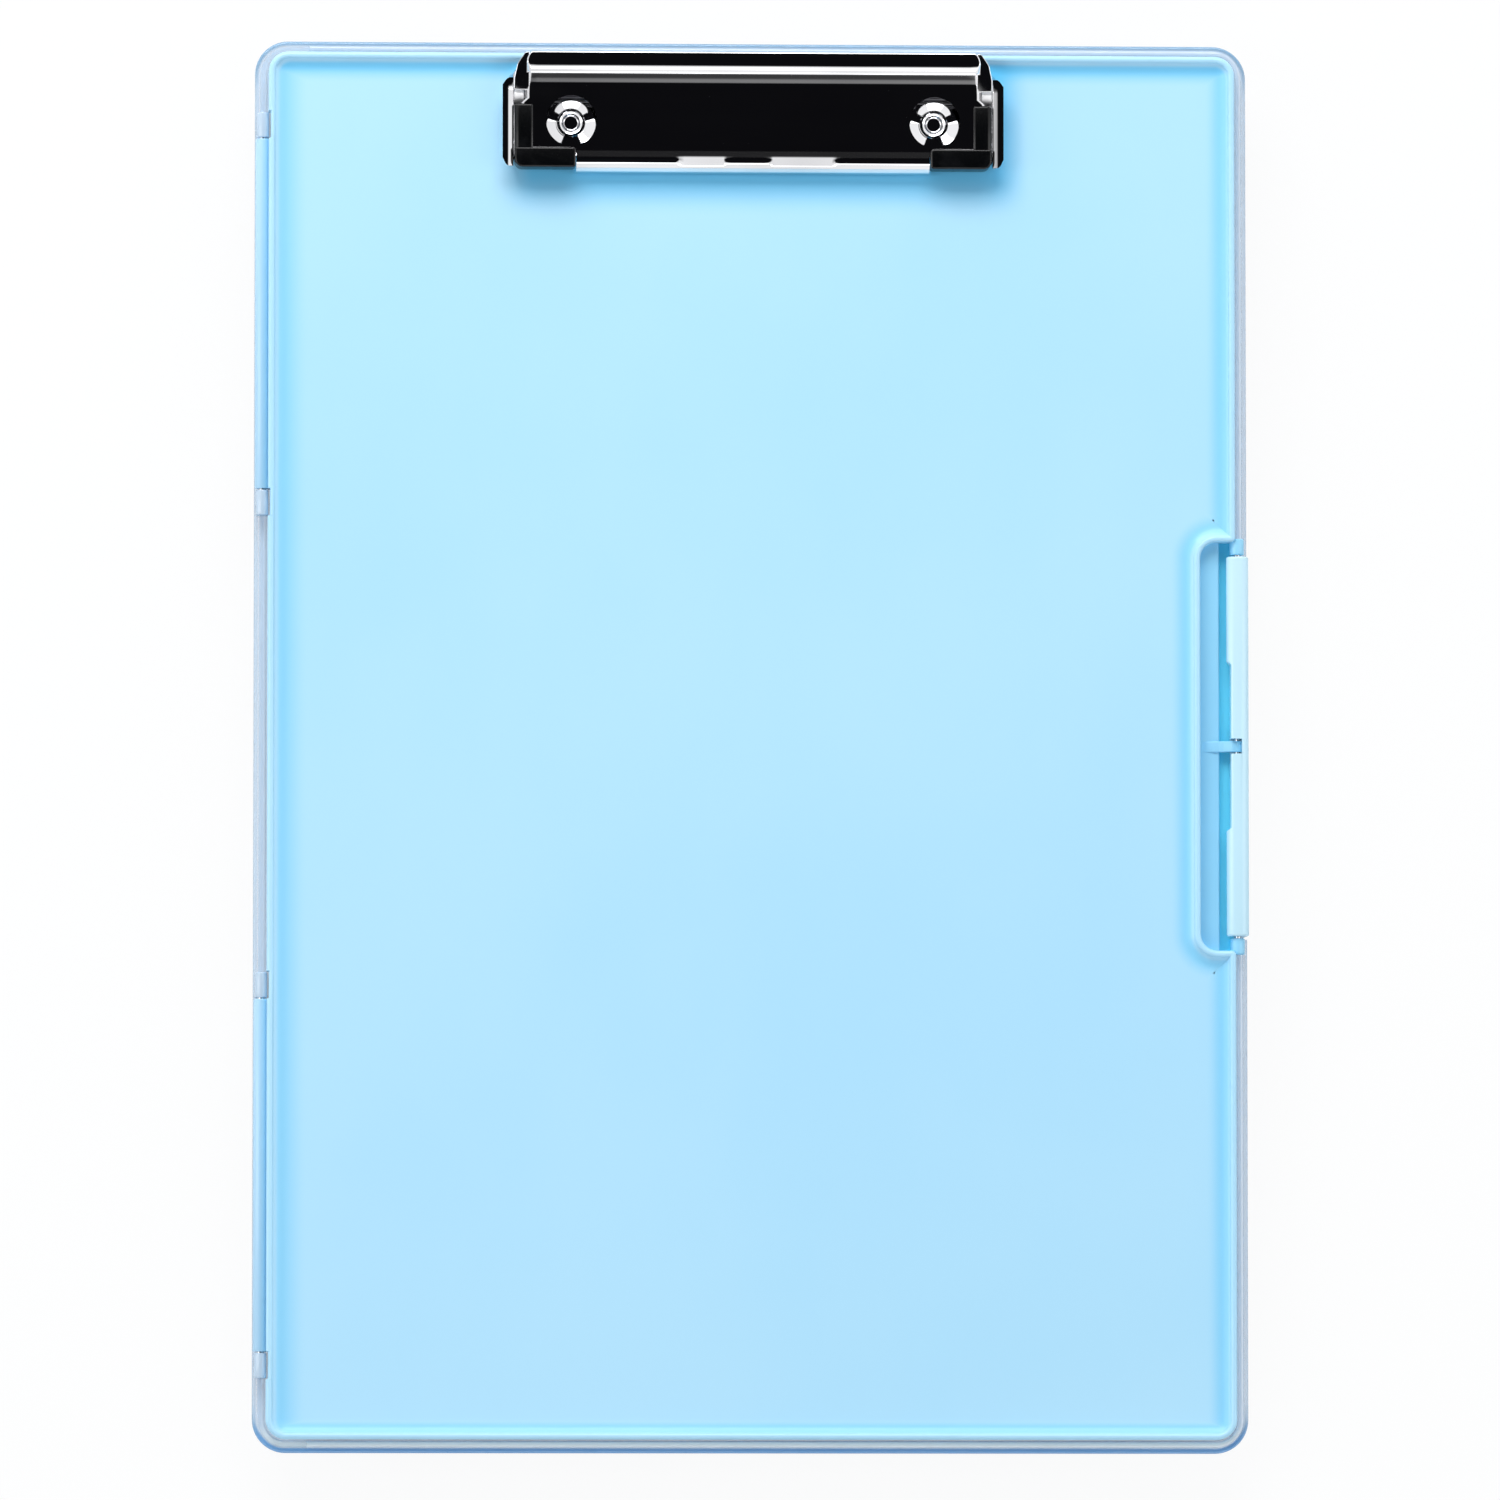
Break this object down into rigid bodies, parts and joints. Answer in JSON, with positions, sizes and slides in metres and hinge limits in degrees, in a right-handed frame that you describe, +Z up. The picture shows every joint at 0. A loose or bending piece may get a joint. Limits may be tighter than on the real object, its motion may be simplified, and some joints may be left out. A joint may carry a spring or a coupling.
{
  "type": "storage clipboard box",
  "caption": "Slim storage box for paper and pens: a clear tray under a hinged light-blue clipboard lid with a low-profile spring clip and a snap latch along one side",
  "frame": {"origin": "middle of the base, on the surface the box lies on", "axes": "+X to the latch side, +Y to the clip end, +Z up out of the writing panel"},
  "size_m": [0.238, 0.338, 0.0296],
  "materials": {
    "clear_plastic": "clear polished styrene, slightly bluish at the edges",
    "blue_plastic": "light-blue moulded plastic, satin panel and polished rim",
    "latch_plastic": "light-blue moulded plastic, polished",
    "clip_chrome": "bright nickel-plated sheet steel",
    "steel": "drawn steel wire and washers",
    "spring_steel": "zinc-plated spring wire",
    "black_rubber": "black moulded rubber"
  },
  "bodies": {
    "tray": {"tray": "clear_plastic", "hinge_pin_upper": "steel", "hinge_pin_lower": "steel"},
    "lid": {"lid": "blue_plastic", "latch_pin": "steel", "clip_base_plate": "clip_chrome", "clip_pivot_rod": "clip_chrome", "clip_spring_left": "spring_steel", "clip_spring_right": "spring_steel", "rivet_left": "clip_chrome", "rivet_right": "clip_chrome", "cup_washer_left": "clip_chrome", "cup_washer_right": "clip_chrome", "backing_washer_left": "steel", "backing_washer_right": "steel"},
    "latch": {"latch": "latch_plastic"},
    "clip_jaw": {"clip_jaw": "clip_chrome", "corner_grip_left": "black_rubber", "corner_grip_right": "black_rubber"}
  },
  "joints": [
    {"name": "lid_hinge", "type": "hinge", "parent": "tray", "child": "lid", "pos_m": [-0.1171, 0, 0.0187], "axis": [0, -1, 0], "range_deg": [0, 180]},
    {"name": "latch_hinge", "type": "hinge", "parent": "lid", "child": "latch", "pos_m": [0.11635, 0, 0.01935], "axis": [0, -1, 0], "range_deg": [0, 95]},
    {"name": "clip_jaw_hinge", "type": "hinge", "parent": "lid", "child": "clip_jaw", "pos_m": [0, 0.1554, 0.02315], "axis": [-1, 0, 0], "range_deg": [0, 25], "stiffness_Nm_per_rad": 0.12, "springref_deg": -28.65, "deforming": ["clip_spring_left", "clip_spring_right"]}
  ]
}
